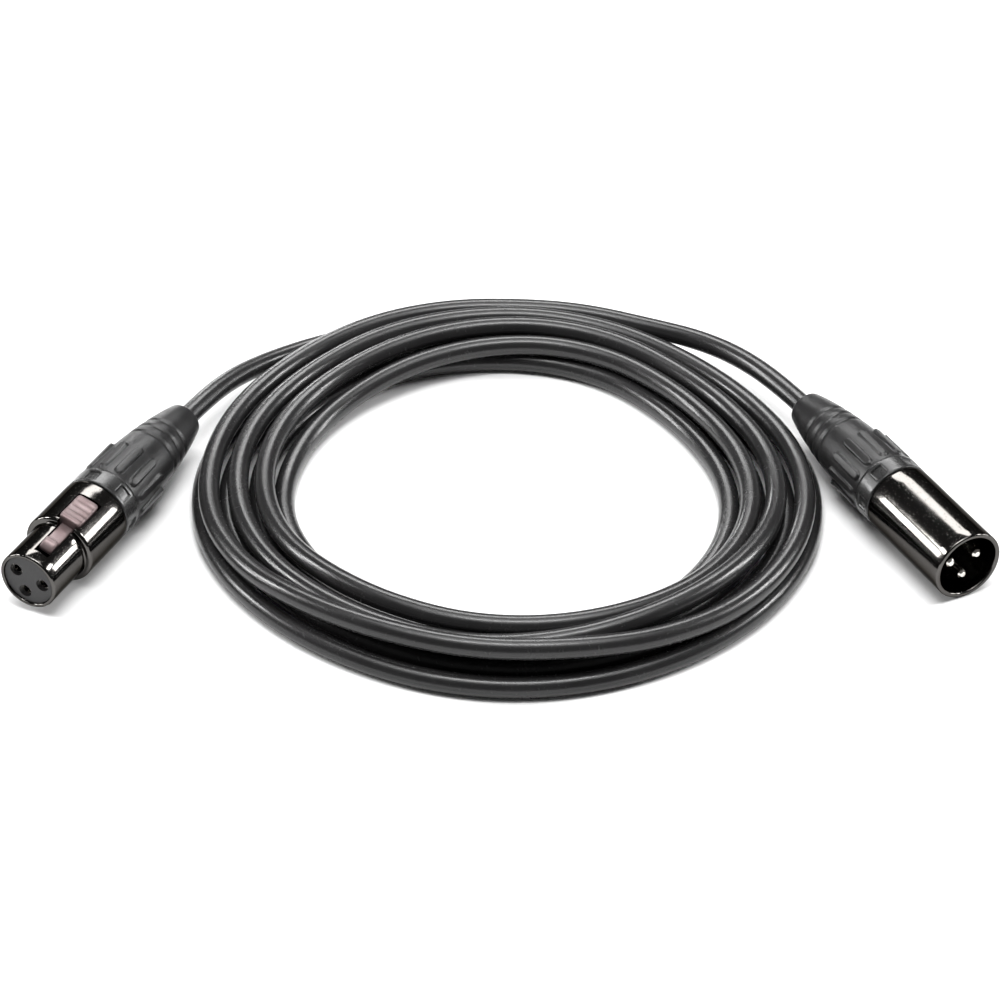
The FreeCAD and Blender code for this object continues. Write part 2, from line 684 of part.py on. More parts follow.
connector("female", [female_shell, female_insert, latch, latch_pin, latch_spring], socket_contact)
connector("male", [male_shell, male_insert], pin_contact)
coil()
for end in ROUTES:
    lead(end)
write_parts()
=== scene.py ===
import json
import math

import bpy
import numpy as np
from bpy.props import FloatProperty, FloatVectorProperty, IntProperty, PointerProperty
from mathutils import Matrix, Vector


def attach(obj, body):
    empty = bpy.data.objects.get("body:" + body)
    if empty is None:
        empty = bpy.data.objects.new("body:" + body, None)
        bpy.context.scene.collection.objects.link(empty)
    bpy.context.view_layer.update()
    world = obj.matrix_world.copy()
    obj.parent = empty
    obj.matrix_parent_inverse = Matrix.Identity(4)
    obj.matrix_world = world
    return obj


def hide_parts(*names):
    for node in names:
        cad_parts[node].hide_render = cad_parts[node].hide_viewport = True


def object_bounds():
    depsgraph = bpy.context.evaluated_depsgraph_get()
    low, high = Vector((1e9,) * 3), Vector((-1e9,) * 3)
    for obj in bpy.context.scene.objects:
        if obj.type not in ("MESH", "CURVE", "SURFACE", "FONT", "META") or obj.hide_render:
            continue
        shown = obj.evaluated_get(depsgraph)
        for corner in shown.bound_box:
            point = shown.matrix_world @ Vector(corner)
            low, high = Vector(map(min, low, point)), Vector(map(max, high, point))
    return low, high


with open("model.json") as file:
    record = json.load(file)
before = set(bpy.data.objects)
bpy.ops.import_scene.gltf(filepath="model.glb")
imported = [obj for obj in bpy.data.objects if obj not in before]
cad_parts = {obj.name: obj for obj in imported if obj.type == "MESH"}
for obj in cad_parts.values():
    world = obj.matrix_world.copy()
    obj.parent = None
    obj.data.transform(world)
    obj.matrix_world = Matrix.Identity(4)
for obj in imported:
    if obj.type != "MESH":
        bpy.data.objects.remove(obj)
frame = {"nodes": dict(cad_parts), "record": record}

bl_info = {
    "name": "Microphone Cable Coil",
    "version": (1, 0, 0),
    "blender": (4, 5, 0),
    "location": "View3D > Sidebar > Cable Coil",
    "description": "Builds the looks of a coiled microphone cable round its packed frame",
    "category": "Object",
}

MM = 0.001
CAD_BOX = [list(corner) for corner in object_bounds()]
MOUNTS = {mount["name"]: mount for mount in frame["record"]["mounts"]}
SLOTS = {part["node"]: part["material_slot"] for part in frame["record"]["subparts"]}


# ---------------------------------------------------------------- sizes and colours

class CableSizes(bpy.types.PropertyGroup):
    """The cable, its two leads and its wound turns."""
    diameter: FloatProperty(
        name="Diameter", description="Outside of the jacket", default=0.0055, unit="LENGTH")
    length: FloatProperty(
        name="Length", description="Cable between the two boots", default=3.23, unit="LENGTH")
    centre_x: FloatProperty(
        name="Centre X", description="Middle of the coil", default=0.0019, unit="LENGTH")
    centre_y: FloatProperty(
        name="Centre Y", description="Middle of the coil", default=0.0087, unit="LENGTH")
    outer: FloatProperty(
        name="Outer turn", description="Radius of the first turn's centre line",
        default=0.0787, unit="LENGTH")
    pitch: FloatProperty(
        name="Pitch", description="Radial distance between turns of the lower layer",
        default=0.0068, unit="LENGTH")
    lower_turns: IntProperty(name="Lower turns", description="Turns on the table", default=4)
    upper_turns: IntProperty(name="Upper turns", description="Turns on the lower layer", default=3)
    points_per_turn: IntProperty(
        name="Points per turn", description="Control points of one turn", default=20)
    waviness: FloatProperty(
        name="Waviness", description="How far a loose turn wanders", default=0.0004, unit="LENGTH")


class ConnectorSizes(bpy.types.PropertyGroup):
    """Diameters and stations of the two connectors, along the axis from the mating face."""
    nose_radius: FloatProperty(
        name="Nose radius", description="Socket connector's slim front", default=7.95 * MM, unit="LENGTH")
    body_radius: FloatProperty(
        name="Body radius", description="Socket connector's body", default=9.6 * MM, unit="LENGTH")
    plug_radius: FloatProperty(
        name="Plug radius", description="Pin connector's shell", default=9.5 * MM, unit="LENGTH")
    collar_radius: FloatProperty(
        name="Collar radius", description="Back nut's grip", default=9.5 * MM, unit="LENGTH")
    boot_radius: FloatProperty(
        name="Boot radius", description="Boot at its grip", default=9.5 * MM, unit="LENGTH")
    boot_tip_radius: FloatProperty(
        name="Boot tip radius", description="Boot at the cable", default=4.7 * MM, unit="LENGTH")
    rib_count: IntProperty(name="Boot ribs", description="Raised panels round the boot", default=12)
    grip_count: IntProperty(name="Collar grips", description="Flats round the back nut", default=6)


class FinishColours(bpy.types.PropertyGroup):
    """Base colours of the finishes that show."""
    jacket: FloatVectorProperty(
        name="Jacket", description="Extruded cable jacket", subtype="COLOR",
        default=(0.014, 0.0136, 0.014), min=0, max=1)
    rubber: FloatVectorProperty(
        name="Rubber", description="Moulded boots", subtype="COLOR",
        default=(0.012, 0.0117, 0.012), min=0, max=1)
    nickel: FloatVectorProperty(
        name="Dark nickel", description="Plated shells", subtype="COLOR",
        default=(0.085, 0.081, 0.077), min=0, max=1)
    button: FloatVectorProperty(
        name="Button", description="Release lever", subtype="COLOR",
        default=(0.15, 0.105, 0.105), min=0, max=1)
    carrier: FloatVectorProperty(
        name="Carrier", description="Contact carriers", subtype="COLOR",
        default=(0.02, 0.0195, 0.02), min=0, max=1)
    nut: FloatVectorProperty(
        name="Back nut", description="Moulded back nuts", subtype="COLOR",
        default=(0.012, 0.012, 0.012), min=0, max=1)
    contact: FloatVectorProperty(
        name="Contact", description="Plated pins and sockets", subtype="COLOR",
        default=(0.80, 0.78, 0.74), min=0, max=1)
    floor: FloatVectorProperty(
        name="Floor", description="Table", subtype="COLOR", default=(0.93, 0.93, 0.93), min=0, max=1)


class StageSettings(bpy.types.PropertyGroup):
    """The camera and the lights."""
    lens: FloatProperty(name="Lens", description="Focal length in millimetres", default=138.96)
    distance: FloatProperty(
        name="Distance", description="Camera to the middle of the coil", default=1.0, unit="LENGTH")
    elevation: FloatProperty(
        name="Elevation", description="Camera above the table",
        default=math.radians(37.56), subtype="ANGLE")
    aim_x: FloatProperty(name="Aim X", description="Point looked at", default=-0.00017, unit="LENGTH")
    aim_y: FloatProperty(name="Aim Y", description="Point looked at", default=0.01007, unit="LENGTH")
    ambient: FloatProperty(name="Ambient", description="Brightness of the room", default=0.09)
    top: FloatProperty(name="Top", description="Power of the overhead softbox in watts", default=12.0)
    back: FloatProperty(name="Back", description="Power of the rear softbox in watts", default=8.0)
    strip: FloatProperty(name="Strip", description="Power of each low side strip in watts", default=3.2)
    spark: FloatProperty(name="Spark", description="Power of each small bright box in watts", default=3.6)
    rim: FloatProperty(name="Rim", description="Power of the low rear light in watts", default=0.8)


class CableCoilSettings(bpy.types.PropertyGroup):
    """All of the add-on's settings."""
    cable: PointerProperty(type=CableSizes)
    connector: PointerProperty(type=ConnectorSizes)
    colours: PointerProperty(type=FinishColours)
    stage: PointerProperty(type=StageSettings)


# ---------------------------------------------------------------- shader nodes

class Signal:
    """A node's output. Sums, differences and products of signals add their Math nodes."""

    def __init__(self, finish, socket):
        self.finish = finish
        self.socket = socket

    def _math(self, operation, first, second=0.0):
        return self.finish.node("ShaderNodeMath", {"operation": operation}, {0: first, 1: second})

    def __add__(self, other):
        return self._math("ADD", self, other)

    __radd__ = __add__

    def __sub__(self, other):
        return self._math("SUBTRACT", self, other)

    def __rsub__(self, other):
        return self._math("SUBTRACT", other, self)

    def __mul__(self, other):
        return self._math("MULTIPLY", self, other)

    __rmul__ = __mul__


class Finish:
    """A procedural material: a Principled shader and one way to add any other node."""

    def __init__(self, name, **constants):
        self.material = bpy.data.materials.new(name + "_finish")
        self.material.use_nodes = True
        self.tree = self.material.node_tree
        self.shader = self.tree.nodes["Principled BSDF"]
        for words, value in constants.items():
            self.shader.inputs[words.replace("_", " ")].default_value = value

    def node(self, kind, settings=None, values=None, output=0):
        """Adds a node: its settings first (a ramp's stops among them), then its sockets."""
        made = self.tree.nodes.new(kind)
        for name, value in (settings or {}).items():
            if name == "stops":
                ramp = made.color_ramp
                while len(ramp.elements) < len(value):
                    ramp.elements.new(1.0)
                for element, (place, level) in zip(ramp.elements, value):
                    element.position = place
                    element.color = (level, level, level, 1.0)
            else:
                setattr(made, name, value)
        for name, value in (values or {}).items():
            self.put(made.inputs[name], value)
        return Signal(self, made.outputs[output])

    def put(self, socket, value):
        """Links a signal to a socket, or sets the socket to a plain value."""
        if isinstance(value, Signal):
            self.tree.links.new(value.socket, socket)
        else:
            socket.default_value = value

    def place(self):
        """Object coordinates: metres in the row's frame."""
        return self.node("ShaderNodeTexCoord", output="Object")

    def noise(self, size, detail=3.0, rough=0.55, stretch=None):
        """Noise whose lumps are about size metres across, or longer along a stretched axis."""
        where = self.place()
        if stretch:
            where = self.node("ShaderNodeMapping", values={"Vector": where, **stretch})
        return self.node("ShaderNodeTexNoise", values={
            "Vector": where, "Scale": 1.0 / size, "Detail": detail, "Roughness": rough})

    def ramp(self, signal, *stops):
        """A signal passed through a grey ramp of (place, level) stops."""
        return self.node("ShaderNodeValToRGB", {"stops": stops}, {"Fac": signal})

    def blend(self, factor, first, second):
        """A colour between two colours."""
        first, second = (
            one if isinstance(one, Signal) else (*one[:3], 1.0) for one in (first, second))
        return self.node(
            "ShaderNodeMix", {"data_type": "RGBA"}, {0: factor, 6: first, 7: second}, output=2)

    def bump(self, height, depth, strength=1.0):
        """Bumps of a height signal, depth metres high, on the shader's normal."""
        normal = self.node("ShaderNodeBump", values={
            "Height": height, "Distance": depth, "Strength": strength})
        self.put(self.shader.inputs["Normal"], normal)

    def wear(self, colour, worn, amount):
        """Base colour that goes from colour to worn where the amount is high."""
        self.put(self.shader.inputs["Base Color"], self.blend(amount, colour, worn))


def lighter(colour, by):
    """A colour with by added to each part, no brighter than white."""
    return tuple(min(1.0, part + by) for part in colour[:3])


def cable_jacket(colour):
    """Extruded PVC: semi-gloss, with a faint grain, handling smears and a little dust."""
    finish = Finish("cable_jacket", Specular_IOR_Level=0.34, Coat_Roughness=0.12)
    smears = finish.noise(0.018, 4.0, 0.6)
    dust = finish.noise(0.0016, 6.0, 0.7)
    grain = finish.noise(0.00022, 2.0, 0.5)
    patches = finish.ramp(smears, (0.35, 0.0), (0.75, 1.0))
    specks = finish.ramp(dust, (0.58, 0.0), (0.74, 1.0))
    finish.wear(colour, lighter(colour, 0.02), patches * 0.3 + specks * 0.35)
    finish.put(finish.shader.inputs["Roughness"], 0.2 + patches * 0.09 + specks * 0.12)
    finish.put(finish.shader.inputs["Coat Weight"], 0.2 - specks * 0.15)
    finish.bump(grain + smears * 0.6, 0.00004)
    return finish.material


def boot_rubber(colour):
    """Moulded rubber: satin, spark-eroded grain, rubbed a little lighter on its high spots."""
    finish = Finish("boot_rubber", Specular_IOR_Level=0.36)
    sand = finish.noise(0.00035, 3.0, 0.6)
    rubbed = finish.ramp(finish.noise(0.006, 4.0, 0.6), (0.42, 0.0), (0.72, 1.0))
    specks = finish.ramp(finish.noise(0.0011, 5.0, 0.7), (0.6, 0.0), (0.75, 1.0))
    finish.wear(colour, lighter(colour, 0.014), rubbed * 0.3 + specks * 0.35)
    finish.put(finish.shader.inputs["Roughness"], 0.26 + rubbed * 0.12 + sand * 0.08)
    finish.bump(sand, 0.00006)
    return finish.material


def shell_metal(colour):
    """Dark nickel over a die casting: bright, with hairlines, smears and tiny pits."""
    finish = Finish("shell_metal", Metallic=1.0, Specular_Tint=(0.3, 0.3, 0.3, 1.0))
    smears = finish.ramp(finish.noise(0.007, 4.0, 0.6), (0.4, 0.0), (0.75, 1.0))
    hairs = finish.noise(0.0005, 3.0, 0.65, {"Scale": (1.0, 0.12, 1.0)})
    pits = finish.ramp(finish.noise(0.0004, 2.0, 0.5), (0.26, 1.0), (0.34, 0.0))
    finish.wear(colour, lighter(colour, 0.025), smears * 0.35 + hairs * 0.15)
    finish.put(finish.shader.inputs["Roughness"], 0.08 + smears * 0.07 + pits * 0.2)
    finish.bump(hairs * 0.5 + smears * 0.4 - pits, 0.000012)
    return finish.material


def latch_metal(colour):
    """The release lever: plated like the shell and rubbed paler by thumbs."""
    finish = Finish("latch_metal", Metallic=0.6)
    rubbed = finish.ramp(finish.noise(0.0035, 4.0, 0.6), (0.35, 0.0), (0.7, 1.0))
    grain = finish.noise(0.0004, 3.0, 0.6)
    finish.wear(colour, lighter(colour, 0.10), rubbed * 0.6)
    finish.put(finish.shader.inputs["Roughness"], 0.4 + grain * 0.16 - rubbed * 0.06)
    finish.bump(grain, 0.00002)
    return finish.material


def carrier_plastic(colour):
    """Glass-filled moulding with a fine matt face and a few pale fibres."""
    finish = Finish("carrier_plastic", Specular_IOR_Level=0.45)
    matt = finish.noise(0.0003, 3.0, 0.6)
    fibres = finish.ramp(finish.noise(0.0009, 5.0, 0.75, {"Scale": (1.0, 1.0, 0.25)}),
                         (0.6, 0.0), (0.72, 1.0))
    finish.wear(colour, lighter(colour, 0.04), fibres * 0.5)
    finish.put(finish.shader.inputs["Roughness"], 0.42 + matt * 0.18)
    finish.bump(matt, 0.00003)
    return finish.material


def nut_plastic(colour):
    """Hard semi-gloss moulding with flow marks and handling polish."""
    finish = Finish("nut_plastic", Specular_IOR_Level=0.35, Coat_Roughness=0.12)
    flow = finish.noise(0.004, 3.0, 0.55, {"Scale": (1.0, 1.0, 2.5)})
    matt = finish.noise(0.0004, 3.0, 0.6)
    polish = finish.ramp(flow, (0.4, 0.0), (0.7, 1.0))
    finish.wear(colour, lighter(colour, 0.04), polish * 0.5)
    finish.put(finish.shader.inputs["Roughness"], 0.24 + matt * 0.12 - polish * 0.06)
    finish.put(finish.shader.inputs["Coat Weight"], 0.05 + polish * 0.15)
    finish.bump(matt * 0.6 + flow * 0.4, 0.00002)
    return finish.material


def contact_metal(colour):
    """Bright plate with turning marks and light insertion scratches."""
    finish = Finish("contact_metal", Metallic=1.0)
    marks = finish.noise(0.0002, 2.0, 0.5)
    stains = finish.ramp(finish.noise(0.002, 4.0, 0.6), (0.45, 0.0), (0.75, 1.0))
    finish.wear(colour, (0.62, 0.57, 0.46), stains * 0.5)
    finish.put(finish.shader.inputs["Roughness"], 0.14 + marks * 0.12 + stains * 0.1)
    finish.bump(marks, 0.000008)
    return finish.material


def spring_steel(colour):
    """Rolled strip with fine lines along the rolling direction."""
    finish = Finish("spring_steel", Metallic=1.0)
    rolling = finish.noise(0.0003, 3.0, 0.6, {"Scale": (1.0, 0.15, 1.0)})
    finish.wear(colour, lighter(colour, -0.18), rolling * 0.6)
    finish.put(finish.shader.inputs["Roughness"], 0.22 + rolling * 0.2)
    finish.bump(rolling, 0.00001)
    return finish.material


def moulded_plastic(name, colour):
    """Plain insulation or acetal: a soft sheen with faint mottling."""
    finish = Finish(name, Specular_IOR_Level=0.5)
    mottle = finish.noise(0.0015, 4.0, 0.6)
    grain = finish.noise(0.0003, 2.0, 0.5)
    finish.wear(colour, lighter(colour, 0.06), mottle * 0.5)
    finish.put(finish.shader.inputs["Roughness"], 0.34 + grain * 0.14)
    finish.bump(grain, 0.00002)
    return finish.material


def table_finish(colour):
    """A plain pale table top with the faintest mottling."""
    finish = Finish("table_top", Specular_IOR_Level=0.1)
    finish.wear(colour, lighter(colour, -0.015), finish.noise(0.12, 3.0, 0.5) * 0.5)
    finish.put(finish.shader.inputs["Roughness"], 0.75 + finish.noise(0.004) * 0.1)
    return finish.material


# ---------------------------------------------------------------- surfaces

def smooth_step(value):
    """Rises from 0 to 1 with no slope at either end: 3 t squared less 2 t cubed, t kept in 0 to 1."""
    t = np.clip(value, 0.0, 1.0)
    return t * t * (3 - 2 * t)


def bump_window(value, half_width, edge):
    """1 within half_width of nought, falling to 0 over a soft edge outside it."""
    return smooth_step((half_width + edge - np.abs(value)) / edge)


def connector_frame(end, lowest):
    """Face centre and the directions back, across and up of a connector.

    The end's mount lies half its length inside the face, and its lowest contact lies straight below
    the axis: up is what is left of that contact's offset once its part along the axis is taken off.
    """
    mount = MOUNTS[end]
    back = -np.array(mount["axis"], float)
    face = np.array(mount["pos_m"]) - back * mount["dims"]["length_mm"] * MM / 2
    offset = np.array(MOUNTS[lowest]["pos_m"]) - face
    up = back * offset.dot(back) - offset
    up /= np.linalg.norm(up)
    return face, np.stack([back, np.cross(up, back), up])


CONNECTORS = {
    "female": connector_frame("socket_nose", "socket_3"),
    "male": connector_frame("plug_mouth", "pin_3"),
}


def laid(points, side):
    """Points of a connector's own frame, in the row's frame: face + x back + y across + z up."""
    face, axes = CONNECTORS[side]
    return face + points @ axes


def rounded_outline(corners, steps=5):
    """A closed outline through (x, r, round) corners in millimetres, as an array in metres.

    A corner with a round becomes an arc tangent to both sides: its middle lies on the bisector at
    round / sin(half the corner's angle), and the arc turns evenly between its two tangent points.
    """
    points = []
    for i, (x, r, size) in enumerate(corners):
        corner = np.array([x, r])
        if not size:
            points.append(corner)
            continue
        sides = [np.array(corners[i + k - len(corners)][:2]) - corner for k in (-1, 1)]
        sides = [side / np.linalg.norm(side) for side in sides]
        half = math.acos(np.clip(sides[0].dot(sides[1]), -1, 1)) / 2
        middle = corner + (sides[0] + sides[1]) / (2 * math.cos(half)) * size / math.sin(half)
        start, end = (corner + side * size / math.tan(half) - middle for side in sides)
        turn = math.pi - 2 * half
        for k in np.linspace(0, 1, steps):
            spoke = start * math.sin((1 - k) * turn) + end * math.sin(k * turn)
            points.append(middle + spoke / math.sin(turn))
    return np.array(points) * MM


def filled_in(outline, longest):
    """A closed outline with points added so that no run is over longest metres."""
    after = np.roll(outline, -1, axis=0)
    runs = []
    for start, end in zip(outline, after):
        count = max(1, math.ceil(np.linalg.norm(end - start) / longest))
        runs.append(start + (end - start) * np.arange(count)[:, None] / count)
    return np.concatenate(runs)


def lathe(outline, around, raised=None):
    """An outline (x, r) carried round the axis: y = r cos a, z = r sin a.

    raised(x, r, a) is added to r, and its arrays have a row for each outline point and a column for
    each angle.
    """
    angle = np.arange(around)[None, :] * 2 * math.pi / around
    x, r = (np.repeat(column[:, None], around, 1) for column in outline.T)
    if raised:
        r = r + raised(x, r, angle)
    return np.stack([x, r * np.cos(angle), r * np.sin(angle)], -1)


def grid_quads(rows, columns, closed_rows):
    """Quads between neighbours of a grid that closes round its columns, and its rows if asked."""
    i, j = np.indices((rows if closed_rows else rows - 1, columns))
    down, right = (i + 1) % rows, (j + 1) % columns
    corners = [i * columns + j, i * columns + right, down * columns + right, down * columns + j]
    return np.stack(corners, -1).reshape(-1, 4)


def ringed(points):
    """A closed surface from a grid that closes both ways: its points and faces."""
    rows, columns = points.shape[:2]
    return points.reshape(-1, 3), grid_quads(rows, columns, True).tolist()


def capped(points):
    """A closed surface from a tube-like grid: each end row is joined to its own middle point."""
    rows, columns = points.shape[:2]
    flat = np.concatenate([points.reshape(-1, 3), points[[0, -1]].mean(1)])
    here = np.arange(columns)
    following = (here + 1) % columns
    last = (rows - 1) * columns
    first_fan = np.stack([np.full(columns, rows * columns), following, here], 1)
    last_fan = np.stack([np.full(columns, rows * columns + 1), last + here, last + following], 1)
    return flat, grid_quads(rows, columns, False).tolist() + first_fan.tolist() + last_fan.tolist()


def walled(outer, inner, openings):
    """A tube with a wall and windows, from two grids of the same rows and columns.

    A cell that openings marks is left out of both skins. Where a kept cell meets an opening or an
    end of the tube, a wall quad joins the two skins along that edge.
    """
    rows, columns = outer.shape[:2]
    index = np.arange(rows * columns).reshape(rows, columns)
    right = np.roll(index, -1, axis=1)
    cell = [index[:-1], right[:-1], right[1:], index[1:]]
    kept = ~openings
    edge_row = np.zeros((1, columns), bool)
    bare = [
        np.concatenate([edge_row, kept[:-1]]), np.roll(kept, -1, axis=1),
        np.concatenate([kept[1:], edge_row]), np.roll(kept, 1, axis=1),
    ]
    skin = np.stack(cell, -1)[kept]
    faces = [skin, skin[:, ::-1] + rows * columns]
    for k, neighbour in enumerate(bare):
        here = kept & ~neighbour
        start, end = cell[k][here], cell[(k + 1) % 4][here]
        faces.append(np.stack([end, start, start + rows * columns, end + rows * columns], 1))
    flat = np.concatenate([outer.reshape(-1, 3), inner.reshape(-1, 3)])
    used, faces = np.unique(np.concatenate(faces), return_inverse=True)
    return flat[used], faces.reshape(-1, 4).tolist()


def lofted_bar(x, half_width, low, high, power, around=40):
    """A bar along x whose section is a superellipse: |y / half width|^power + |z / half height|^power = 1.

    Each station has its own half width, bottom and top, and both ends close on a point.
    """
    angle = np.arange(around)[None, :] * 2 * math.pi / around
    across, rise = (
        np.sign(wave) * np.abs(wave) ** (2 / power) for wave in (np.cos(angle), np.sin(angle)))
    x, half_width, low, high = (np.asarray(row)[:, None] for row in (x, half_width, low, high))
    grid = np.broadcast_arrays(
        x, half_width * across, (low + high) / 2 + (high - low) / 2 * rise)
    return capped(np.stack(grid, -1) * MM)


def signed_volume(points, faces):
    """Volume inside a closed mesh, negative if its faces point inwards: the sum of the tetrahedra
    between the origin and each face's triangles, divided by six."""
    total = 0.0
    for size in (3, 4):
        some = np.array([face for face in faces if len(face) == size])
        if len(some):
            corners = points[some] - points[0]
            for k in range(1, size - 1):
                first, second, third = corners[:, 0], corners[:, k], corners[:, k + 1]
                total += np.einsum("ij,ij->", first, np.cross(second, third)) / 6
    return total


def merged(*shapes):
    """Several closed surfaces as one mesh's points and faces."""
    points, faces, count = [], [], 0
    for some_points, some_faces in shapes:
        if signed_volume(some_points, some_faces) < 0:
            some_faces = [face[::-1] for face in some_faces]
        points.append(some_points)
        faces += [[count + corner for corner in face] for face in some_faces]
        count += len(some_points)
    return np.concatenate(points), faces


def new_piece(name, shape, side, material, body, nodes, crease=35, bevel=0.0):
    """Makes a piece of a connector from points and faces in its own frame.

    Edges sharper than crease degrees stay sharp, and a bevel rounds them by that many metres.
    """
    points, faces = merged(shape)
    mesh = bpy.data.meshes.new(name)
    mesh.from_pydata(laid(points, side).tolist(), [], faces)
    mesh.update()
    if mesh.validate():
        raise RuntimeError(name + ": its mesh is faulty")
    mesh.shade_smooth()
    mesh.set_sharp_from_angle(angle=math.radians(crease))
    mesh.materials.append(material)
    piece = bpy.data.objects.new(name, mesh)
    bpy.context.collection.objects.link(piece)
    if bevel:
        rounding = piece.modifiers.new("rounded_edges", "BEVEL")
        rounding.width = bevel
        rounding.segments = 2
        rounding.limit_method = "ANGLE"
        rounding.angle_limit = math.radians(crease)
    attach(piece, body)
    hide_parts(*nodes)
    return piece


# ---------------------------------------------------------------- the cable

LEADS = {
    # centre lines of the two leads, from inside each boot to the side of the coil
    "female": [
        (-0.085721, 0.02677, 0.0096), (-0.079592, 0.038799, 0.0096), (-0.072, 0.0525, 0.0081),
        (-0.0632, 0.0635, 0.0056), (-0.0526, 0.0727, 0.0037), (-0.0403, 0.079, 0.0031),
        (-0.0271, 0.0823, 0.0029),
    ],
    "male": [
        (0.083299, 0.031917, 0.0096), (0.076857, 0.043781, 0.0096), (0.0659, 0.0594, 0.0093),
        (0.054, 0.0701, 0.00845), (0.0391, 0.0774, 0.0077), (0.0245, 0.0825, 0.00815),
        (0.0095, 0.0852, 0.00825),
    ],
}
DENT = (-0.0046, 36.0, 30.0)      # the side pushed in by the plug's lead: depth, bearing, spread
BULGE = (0.0006, -35.0, 25.0)     # the loose side opposite
FLAT = (-0.0026, -128.0, 30.0)    # where the coil was held
BUNDLE_MIDDLE = 0.0685            # radius that the turns draw together round
SIDE_SPREAD = 1.055               # how far apart the turns lie at the sides
END_SPREAD = 0.84                 # and at the front and the back
LOWER_SHIFT = (180.0, 85.0)       # bearings between which a lower turn moves in to the next
UPPER_SHIFT = (120.0, 15.0)       # bearings between which an upper turn moves out
UPPER_TURNS = (0.0632, 0.0698, 0.0765)
LAST_SHIFT = (160.0, 85.0)        # bearings between which the last turn goes out to its lead
CLIMB = (-0.0026, 118.0, 34.0)    # the turn that climbs leans in: depth, bearing, spread
WAVE_STEP = math.radians(137.5)   # phase from one turn's waves to the next's
SETTLED = 60.0                    # a turn's waves begin this far past its shift's start and grow over as far


def bell(bearing, depth, middle, spread):
    """A bell curve round a middle bearing: depth times exp of minus (distance / spread) squared."""
    away = (bearing - middle + 180.0) % 360.0 - 180.0
    return depth * np.exp(-(away / spread) ** 2)


def coil_shape(bearing):
    """How far every turn is pushed in or out at a bearing in degrees: a sum of bell curves."""
    return sum(bell(bearing, *push) for push in (DENT, BULGE, FLAT))


def bundled(radius, bearing):
    """A nominal radius drawn towards the bundle's middle, most at the front and the back.

    The distance from the middle is multiplied by side + (end - side) sin squared of the bearing.
    """
    spread = SIDE_SPREAD + (END_SPREAD - SIDE_SPREAD) * np.sin(np.radians(bearing)) ** 2
    return BUNDLE_MIDDLE + (radius - BUNDLE_MIDDLE) * spread + coil_shape(bearing)


def turn_radius(index, bearing, cable):
    """Radius of one pass round the coil at bearings that fall from its start at the back.

    A turn keeps its own radius round the sides and the front, and comes over from the turn before
    it by a smooth step across the back. It wanders by two sine waves of its own.
    """
    lower = [cable.outer - cable.pitch * k for k in range(cable.lower_turns)]
    radii = [cable.outer + 0.25 * cable.pitch, *lower, *UPPER_TURNS[:cable.upper_turns]]
    before, own = radii[index], radii[index + 1]
    start, end = LOWER_SHIFT if index < cable.lower_turns else UPPER_SHIFT
    moved = smooth_step((start - bearing) / (start - end))
    phase = WAVE_STEP * index
    wander = np.sin(np.radians(2 * bearing) + phase) + 0.7 * np.sin(np.radians(3 * bearing) - phase)
    calm = smooth_step((start - bearing) / SETTLED - 1.0)
    lean = bell(bearing, *CLIMB) if index == cable.lower_turns else 0.0
    return bundled(before + (own - before) * moved, bearing) + lean + cable.waviness * wander * calm


def coil_points(cable):
    """Control points of the wound turns, laid one after another like a real coil.

    The bearing falls by the same angle from point to point, from where one lead arrives to where
    the other leaves. Each point lies on the table or on the passes already laid: its height is the
    greatest of d / 2 and z + sqrt(d squared less the radial distance squared) over those passes. A
    running maximum and a running mean along the turn then take the edges off each climb. A spline
    of order 3 runs inside its control points by the cosine of half their angle, so they stand out
    by that much.
    """
    centre = np.array([cable.centre_x, cable.centre_y])
    first, last = (
        math.degrees(math.atan2(*(np.array(LEADS[side][-1][:2]) - centre)[::-1])) for side in LEADS)
    turns = cable.lower_turns + cable.upper_turns
    step = 360.0 / cable.points_per_turn
    fine = 4
    total = first - last + 360.0 * turns
    count = round(total / step) * fine
    travelled = np.linspace(0.0, total, count + 1)
    bearing = first - travelled
    passes = ((LOWER_SHIFT[0] - bearing) // 360.0).astype(int)
    local = bearing + 360.0 * passes
    radius = np.zeros_like(bearing)
    for index in range(turns + 1):
        here = passes == index
        shown = min(index, turns - 1)
        radius[here] = turn_radius(shown, local[here], cable)
    ending = passes == turns
    leaves, arrives = LAST_SHIFT
    outward = smooth_step((leaves - local[ending]) / (leaves - arrives))
    final = np.hypot(*(np.array(LEADS["male"][-1][:2]) - centre))
    kept = bundled(UPPER_TURNS[cable.upper_turns - 1], local[ending])
    radius[ending] = kept + (final - kept) * outward
    height = resting_heights(radius, bearing, cable)
    scale = 1.0 / math.cos(math.radians(step / 2))
    across, along = np.cos(np.radians(bearing)), np.sin(np.radians(bearing))
    place = np.stack([
        centre[0] + radius * scale * across, centre[1] + radius * scale * along, height], 1)
    return place[fine:-1:fine]


def resting_heights(radius, bearing, cable):
    """Height of each point of the winding over the passes laid before it.

    A pass is compared with earlier ones at the same bearing: one turn back is a fixed number of
    points back, because the bearing falls evenly.
    """
    d = cable.diameter
    turn = int(round(360.0 / (bearing[0] - bearing[1])))
    height = np.full_like(radius, d / 2)
    for start in range(0, len(radius), turn):
        here = slice(start, min(start + turn, len(radius)))
        size = here.stop - here.start
        need = np.full(size, d / 2)
        for back in range(start - turn, -1, -turn):
            beside = np.abs(radius[here] - radius[back:back + size])
            rest = height[back:back + size] + np.sqrt(np.clip(d * d - beside * beside, 0, None))
            need = np.where(beside < d, np.maximum(need, rest), need)
        height[here] = need
        softened = softened_run(height[:here.stop], turn // 24)
        height[here] = np.maximum(softened[here], d / 2)
    return height


